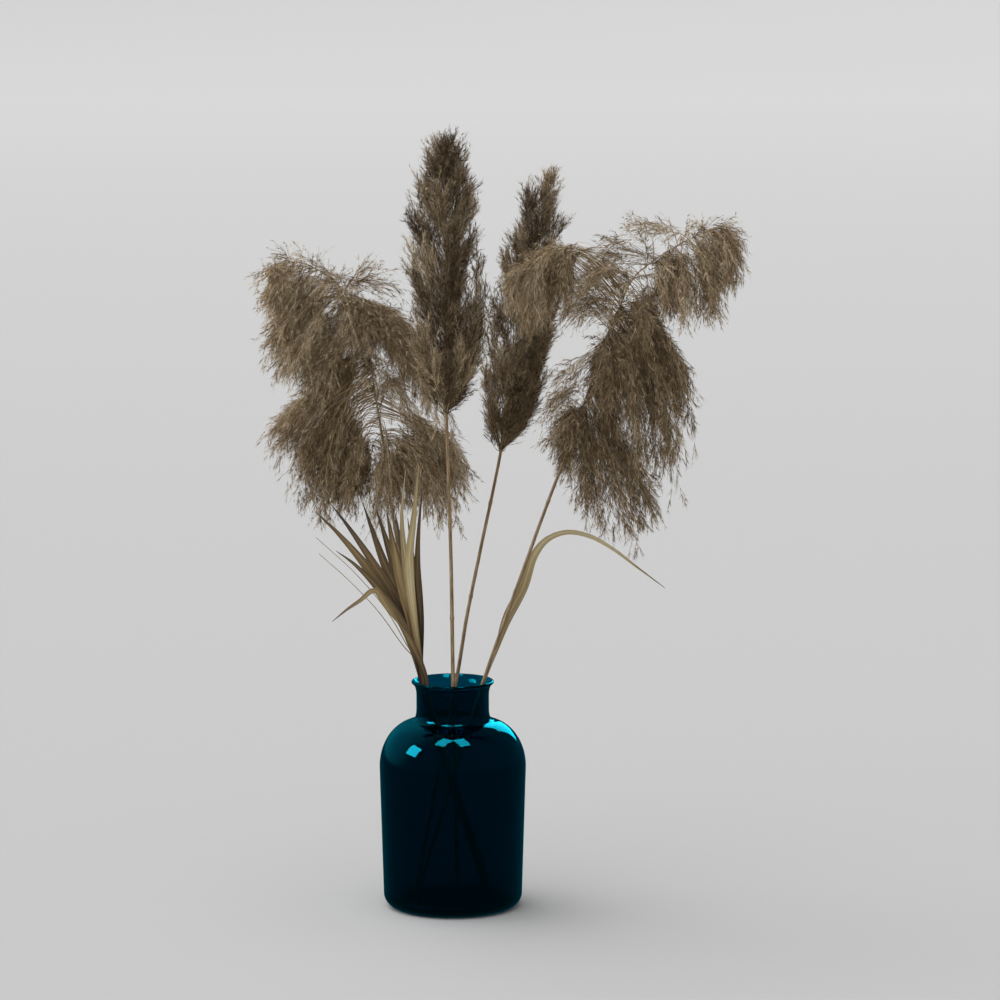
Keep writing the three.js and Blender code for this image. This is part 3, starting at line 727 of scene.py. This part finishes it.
# How a plume grows: the angles its branchlets open at, how far they reach and how much they hang
HABITS = {
    "tall": {"open": (10, 34), "reach": (12, 26), "fall": -0.1},
    "rear": {"open": (10, 34), "reach": (12, 26), "fall": -0.08},
    "right": {"open": (12, 40), "reach": (13, 28), "fall": 0.25},
    "left": {"open": (12, 40), "reach": (13, 28), "fall": 0.2},
}
BRANCHLETS = 16
HAIRS = 24
HAIR_WIDTH = 0.36
HUSK_WIDTH = 0.8
HUSK_SHARE = 0.2
HAIR_TIP_WIDTH = 0.1
TWIG_STEPS = 8
TWIG_WIDTHS = (0.75, 0.3)
BRANCHLET_STEPS = 4
BRANCHLET_WIDTHS = (0.34, 0.16)
PALE_TWIGS = 0.2
PALE_BRANCHLETS = 0.12
PALENESS = 0.4


# Points at random shares of each path, with the directions the paths have there
def sprout(rng, paths, count, low, high):
    at = np.sort(rng.uniform(low, high, (len(paths), count)), axis=1) * (paths.shape[1] - 1)
    step = np.minimum(at.astype(int), paths.shape[1] - 2)
    rows = np.arange(len(paths))[:, None]
    starts = mix(paths[rows, step], paths[rows, step + 1], (at - step)[..., None])
    directions = unit(paths[rows, step + 1] - paths[rows, step])
    return starts.reshape(-1, 3), directions.reshape(-1, 3), at.ravel() / (paths.shape[1] - 1)


# Grows twigs, branchlets on them, and on those fine hairs and the small husks between them
def grow(fluff, twigs, habit, bare=0.0, full=1.0):
    rng = fluff.rng
    root, bend, tip = (np.asarray(p)[:, None] for p in twigs[:3])
    tone = twigs[3]
    count = len(root)
    branchlet_count, hair_count = round(BRANCHLETS * full), round(HAIRS * full)
    t = ((1.02 - 0.3 * rng.random((count, 1)) ** 2) * np.linspace(0, 1, TWIG_STEPS))[..., None]
    paths = root * (1 - t) ** 2 + bend * 2 * t * (1 - t) + tip * t**2
    paths = paths + np.cumsum(rng.normal(0, 0.8, paths.shape), axis=1)
    pale = (rng.random(count) < PALE_TWIGS) * PALENESS
    fluff.ribbons(paths, np.linspace(*TWIG_WIDTHS, TWIG_STEPS), tone + pale)

    bare_share = bare + 0.05 + 0.4 * rng.random((count, 1)) ** 1.6 * (1 - bare)
    starts, directions, at = sprout(rng, paths, branchlet_count, bare_share, 0.99)
    directions = splay(rng, directions, np.radians(rng.uniform(*habit["open"], len(at))))
    lengths = rng.uniform(*habit["reach"], len(at)) * (1.1 - 0.4 * at)
    branchlets = bending(starts, directions, lengths, habit["fall"], BRANCHLET_STEPS)
    branchlets = branchlets + np.cumsum(rng.normal(0, 0.6, branchlets.shape), axis=1)
    tone = np.repeat(tone, branchlet_count)
    pale = (rng.random(len(tone)) < PALE_BRANCHLETS) * PALENESS
    fluff.ribbons(branchlets, np.linspace(*BRANCHLET_WIDTHS, BRANCHLET_STEPS), tone + pale)

    starts, directions, at = sprout(rng, branchlets, hair_count, 0.04, 1.0)
    directions = splay(rng, directions, np.radians(rng.uniform(12, 50, len(at))))
    lengths = rng.uniform(3, 8.5, len(at)) * (1.15 - 0.35 * at)
    hairs = bending(starts, directions, lengths, habit["fall"] * 0.6, 2)
    breadths = np.repeat(rng.uniform(0.5, 1.2, len(tone)), hair_count)
    tone = np.repeat(tone + rng.uniform(-0.22, 0.22, len(tone)), hair_count)
    husk = rng.random(len(at)) < HUSK_SHARE
    breadths = np.where(husk, HUSK_WIDTH / HAIR_WIDTH, breadths)
    tone = tone + np.where(husk, rng.choice([-0.5, -0.35, 0.3], len(at)), 0.06)
    fluff.ribbons(hairs, (HAIR_WIDTH, HAIR_TIP_WIDTH), tone, breadths)


def build_plume(name, order, pieces, material):
    line, directions, forked = reed_line(name)
    axis, ways = line[forked:], directions[forked:]
    radii = mix(AXIS_RADIUS, AXIS_TIP_RADIUS, np.sqrt(np.linspace(0, 1, len(axis))))
    rachis = rod_object(f"rachis_{name}", axis, ways, radii, sides=8, seed=order * 5.0)
    settle(rachis, f"plume_{name}", bpy.data.materials["dried_culm"])
    habit = HABITS[name]
    for part in range(pieces):
        fluff = Fluff(np.random.default_rng(100 * order + part))
        if name in SPIRES:
            grow(fluff, spire_twigs(fluff.rng, axis, SPIRES[name]), habit, bare=0.12)
        if name in COVER:
            low, high, count = COVER[name]
            grow(fluff, cover_twigs(fluff.rng, axis, ways, low, high, count // pieces), habit, full=0.5)
        for row in ROWS[name]:
            twigs = row_twigs(fluff.rng, axis, row, row["twigs"] // pieces)
            grow(fluff, twigs, habit, row.get("bare", 0), row.get("full", 1))
        piece = fluff.piece(f"fluff_{name}_{part + 1}")
        settle(piece, f"plume_{name}", material)


# Faces of a sheet of two layers, closed along its sides and ends
def sheet_faces(rows, columns):
    wide, layer = columns + 1, rows * (columns + 1)
    faces = []
    for i in range(rows - 1):
        for k in range(columns):
            a, b = i * wide + k, i * wide + k + 1
            c, d = b + wide, a + wide
            faces.append((a, b, c, d))
            faces.append((layer + d, layer + c, layer + b, layer + a))
        for k, flip in ((0, False), (columns, True)):
            a, b = i * wide + k, (i + 1) * wide + k
            edge = (a, b, layer + b, layer + a)
            faces.append(edge[::-1] if flip else edge)
    for i, flip in ((0, True), (rows - 1, False)):
        for k in range(columns):
            a, b = i * wide + k, i * wide + k + 1
            edge = (a, b, layer + b, layer + a)
            faces.append(edge[::-1] if flip else edge)
    return faces


# A thin blade along points, folded to a shallow V at its midrib, with a slow waver. turn(share) turns
# its face about its own length, and widest is the share where it is widest.
def blade_object(
    name, points, width, turn, seed, bleach, browned, tip_browned, widest=0.76, fold=0.1, rows=90,
):
    line, directions = smooth_line(points, rows)
    share = np.linspace(0, 1, rows)
    face = unit(np.array([0, 1, 0]) - directions * directions[:, 1:2])
    across = np.cross(directions, face)
    angle = turn(share)[:, None]
    face, across = (
        face * np.cos(angle) + np.cross(directions, face) * np.sin(angle),
        across * np.cos(angle) + np.cross(directions, across) * np.sin(angle),
    )
    opened = smoothstep(share, LIP_SHARE, widest)
    closed = np.maximum(0, (share - widest) / (1 - widest)) ** 1.35
    breadth = mix(mix(SHEATH_WIDTH, width, opened), TIP_WIDTH, closed)
    u = np.linspace(-0.5, 0.5, BLADE_COLUMNS + 1)
    side = breadth[:, None] * u[None]
    crease = fold * (breadth[:, None] - 2 * np.abs(side))
    crease = crease + 0.25 * np.sin(share * 31 + seed)[:, None] * u[None] * (breadth / 8)[:, None]
    sheets = []
    for lift in (-BLADE_THICKNESS / 2, BLADE_THICKNESS / 2):
        sheets.append(
            line[:, None] + across[:, None] * side[..., None] + face[:, None] * (crease + lift)[..., None]
        )
    vertices = np.concatenate([s.reshape(-1, 3) for s in sheets])
    piece = mesh_object(name, vertices, sheet_faces(rows, BLADE_COLUMNS))
    run = np.linalg.norm(np.diff(line, axis=0), axis=1).sum() * share
    grain = np.zeros((rows, BLADE_COLUMNS + 1, 3))
    grain[..., 0] = u[None] * 9 + seed * 3.1
    grain[..., 1] = run[:, None] / BLADE_STREAK
    grain[..., 2] = seed
    set_grain(piece, np.concatenate([grain, grain]))
    midrib = 0.14 * np.exp(-((u[None] / 0.09) ** 2))
    shade = bleach + midrib - 0.1 * smoothstep(np.abs(u[None]), 0.34, 0.5)
    shade = shade + 0.1 * np.sin(share * 9 + seed)[:, None]
    shade = shade - tip_browned * smoothstep(share, 0.86, 1)[:, None]
    shade = shade - browned * (1 - smoothstep(share, LIP_SHARE - 0.02, LIP_SHARE + 0.3))[:, None]
    set_bleach(piece, np.concatenate([shade.ravel()] * 2))
    return piece


def run_length(row):
    return np.linalg.norm(np.diff(np.array(row, float), axis=0), axis=1).sum()


# A blade or straw of the fan: from the vase's floor, past the inside of the neck and through its points
def fan_points(layer, spec):
    y = FAN_FRONT + layer * FAN_PITCH
    neck_x = -math.sqrt(FAN_REACH**2 - y**2)
    foot = (FAN_FOOT, y * 0.9 + 10, STANDING_HEIGHT)
    neck = (neck_x, y, LIP_START)
    mouth = (neck_x - 3.5, y - 0.5, VASE_HEIGHT + 8)
    row = [(mouth[0], mouth[2])] + spec["above"]
    whole = run_length(row)
    steps = [
        (x, mix(y, spec["lean"], run_length(row[: i + 2]) / whole), z)
        for i, (x, z) in enumerate(spec["above"])
    ]
    return [foot, neck, mouth] + steps


def build_fan(blade, straw):
    for layer, spec in enumerate(FAN):
        lay, twist = 0.35 * math.sin(layer * 1.7 + 1), 0.6 * math.sin(layer * 2.4)
        turn = lambda share, lay=lay, twist=twist: (
            lay * smoothstep(share, LIP_SHARE, 0.62) + twist * smoothstep(share, 0.68, 1)
        )
        if "fold_at" in spec:
            turn = lambda share, at=spec["fold_at"]: 1.35 * np.exp(-(((share - at) / 0.06) ** 2))
        pale = spec.get("pale", False)
        piece = blade_object(
            f"leaf_{spec['name']}", fan_points(layer, spec), spec["width"], turn=turn, seed=layer * 1.7,
            bleach=spec["bleach"], browned=0.5 if pale else 0.26, tip_browned=0 if pale else 0.2,
        )
        settle(piece, f"blade_{spec['name']}", straw if pale else blade)
    for i, spec in enumerate(STRAWS):
        line, directions = smooth_line(fan_points(len(FAN) + 2.4 + i * 1.1, spec), 120)
        radii = np.linspace(STRAW_RADIUS, STRAW_RADIUS / 3, len(line))
        piece = rod_object(f"thin_{spec['name']}", line, directions, radii, sides=8, seed=20.0 + i)
        set_bleach(piece, [0.05] * len(piece.data.vertices))
        settle(piece, spec["name"], straw)


def build_arched_blade(straw):
    turn = lambda share: 0.7 * smoothstep(share, 0.6, 0.78)
    piece = blade_object(
        "leaf_arched", ARCHED_BLADE, 10.5, widest=0.6, fold=0.14, turn=turn, seed=31.0, bleach=0.22,
        browned=0.12, tip_browned=0.4, rows=140,
    )
    return settle(piece, "blade_arched", straw)


# Camera, floor and lights
def place_camera():
    data = bpy.data.cameras.new("camera")
    data.lens = CAMERA_LENS
    data.sensor_width = SENSOR
    data.clip_end = CAMERA_REACH
    camera = bpy.data.objects.new("camera", data)
    camera.location = CAMERA_PLACE
    camera.rotation_euler = (CAMERA_PITCH, 0, 0)
    bpy.context.scene.collection.objects.link(camera)
    bpy.context.scene.camera = camera


# A round floor that curves up far away, so that no edge of it is seen from any side
def lay_floor():
    rings = [(r, 0) for r in (0.3, 1, 3, 10, 18, FLOOR_FLAT)]
    rings += [(FLOOR_FLAT + FLOOR_SWEEP * t, FLOOR_RISE * t**3) for t in np.linspace(0.08, 1, 14)]
    turns = np.arange(FLOOR_SIDES) * 2 * math.pi / FLOOR_SIDES
    vertices = [(0, 0, 0)]
    vertices += [(r * math.cos(a), r * math.sin(a), z) for r, z in rings for a in turns]
    faces = [(0, 1 + i, 1 + (i + 1) % FLOOR_SIDES) for i in range(FLOOR_SIDES)]
    for ring in range(len(rings) - 1):
        low, high = 1 + ring * FLOOR_SIDES, 1 + (ring + 1) * FLOOR_SIDES
        for i in range(FLOOR_SIDES):
            j = (i + 1) % FLOOR_SIDES
            faces.append((low + i, high + i, high + j, low + j))
    floor = mesh_object("studio_floor", np.array(vertices) / MM, faces)
    floor.data.materials.append(painted_board())
    floor.visible_glossy = False


# A soft box that is seen only as a highlight on glossy surfaces
def softbox(name, direction, distance, size, power):
    data = bpy.data.lights.new(name, "AREA")
    data.shape = "RECTANGLE"
    data.size, data.size_y = size
    data.energy = power
    light = bpy.data.objects.new(name, data)
    way = unit(np.array(direction, float))
    light.location = tuple(way * distance + np.array([0, 0, 0.2]))
    aim = bpy.data.objects.new(name + "_aim", None)
    aim.location = (0.02, 0, 0.25)
    for item in (light, aim):
        bpy.context.scene.collection.objects.link(item)
    track = light.constraints.new("TRACK_TO")
    track.target = aim
    track.track_axis = "TRACK_NEGATIVE_Z"
    track.up_axis = "UP_Y"
    light.visible_diffuse = False
    light.visible_transmission = False


# What surrounds the studio: a bright window side above the horizon, and even walls all round, a little
# dimmer to glossy rays, so that what the dark glass mirrors of them stays faint
def light_surroundings():
    world = bpy.data.worlds.new("studio")
    bpy.context.scene.world = world
    world.use_nodes = True
    background = world.node_tree.nodes["Background"]
    background.inputs["Color"].default_value = colour("#ffffff")
    place = add_node(world, "ShaderNodeTexCoord")
    facing = add_node(
        world, "ShaderNodeVectorMath", settings={"operation": "DOT_PRODUCT"}, sockets={1: WINDOW_WAY},
        links={0: place.outputs["Generated"]},
    )
    glow = add_node(
        world, "ShaderNodeMapRange", settings={"interpolation_type": "SMOOTHSTEP"},
        sockets={"From Min": 0.56, "From Max": 0.97, "To Min": 0.12, "To Max": 1.35},
        links={"Value": facing.outputs["Value"]},
    )
    axes = add_node(world, "ShaderNodeSeparateXYZ", links={"Vector": place.outputs["Generated"]})
    above = add_node(
        world, "ShaderNodeMapRange", settings={"interpolation_type": "SMOOTHSTEP"},
        sockets={"From Min": -0.05, "From Max": 0.06}, links={"Value": axes.outputs["Z"]},
    )
    ray = add_node(world, "ShaderNodeLightPath")
    walls = add_node(
        world, "ShaderNodeMapRange", sockets={"To Min": 0.29, "To Max": 0.23},
        links={"Value": ray.outputs["Is Glossy Ray"]},
    )
    total = add_node(
        world, "ShaderNodeMath", settings={"operation": "MULTIPLY_ADD"},
        links={0: glow.outputs["Result"], 1: above.outputs["Result"], 2: walls.outputs["Result"]},
    )
    world.node_tree.links.new(total.outputs["Value"], background.inputs["Strength"])


def light_studio():
    light_surroundings()
    daylight = bpy.data.lights.new("key", "SUN")
    daylight.energy = DAYLIGHT_STRENGTH
    daylight.angle = DAYLIGHT_SPREAD
    key = bpy.data.objects.new("key", daylight)
    key.rotation_euler = (math.radians(12), math.radians(-20), 0)
    key.visible_glossy = False
    key.visible_transmission = False
    bpy.context.scene.collection.objects.link(key)
    softbox("left_highlight", (-0.825, -0.205, 0.525), 2.0, (0.72, 0.66), 62)
    softbox("right_highlight", (0.32, 0.88, 0.34), 2.2, (0.95, 1.12), 50)
    for side in (-1, 1):
        softbox("top_highlight", (0.2 * side, -0.28, 0.94), 2.0, (0.5, 0.8), 34)
    view = bpy.context.scene.view_settings
    view.view_transform = "Standard"
    view.look = "None"


place_camera()
lay_floor()
light_studio()
build_vase()
culm = dried_culm()
blade = dried_blade(
    "dried_blade", [(0.2, "#33210f"), (0.44, "#6d5632"), (0.64, "#998152"), (0.9, "#cbb687")]
)
straw = dried_blade(
    "bleached_blade", [(0.2, "#664f30"), (0.46, "#9c865a"), (0.66, "#c3b081"), (0.9, "#e2d5b0")]
)
dark_plume = dried_plume("dried_plume", [(0.05, "#1f1408"), (0.42, "#735b3c"), (0.9, "#e6d2ab")])
# The drooping plumes take a paler copy of the plume finish, as painted light for the light that falls on
# them from above and the left
lit_plume = dried_plume("dried_plume_lit", [(0.05, "#2b1c0c"), (0.42, "#9c8158"), (0.9, "#f8e7c6")])
for order, (name, pieces) in enumerate((("tall", 1), ("rear", 1), ("right", 2), ("left", 2))):
    build_culm(name, order, culm)
    build_plume(name, order + 1, pieces, lit_plume if name in COVER else dark_plume)
build_fan(blade, straw)
build_arched_blade(straw)
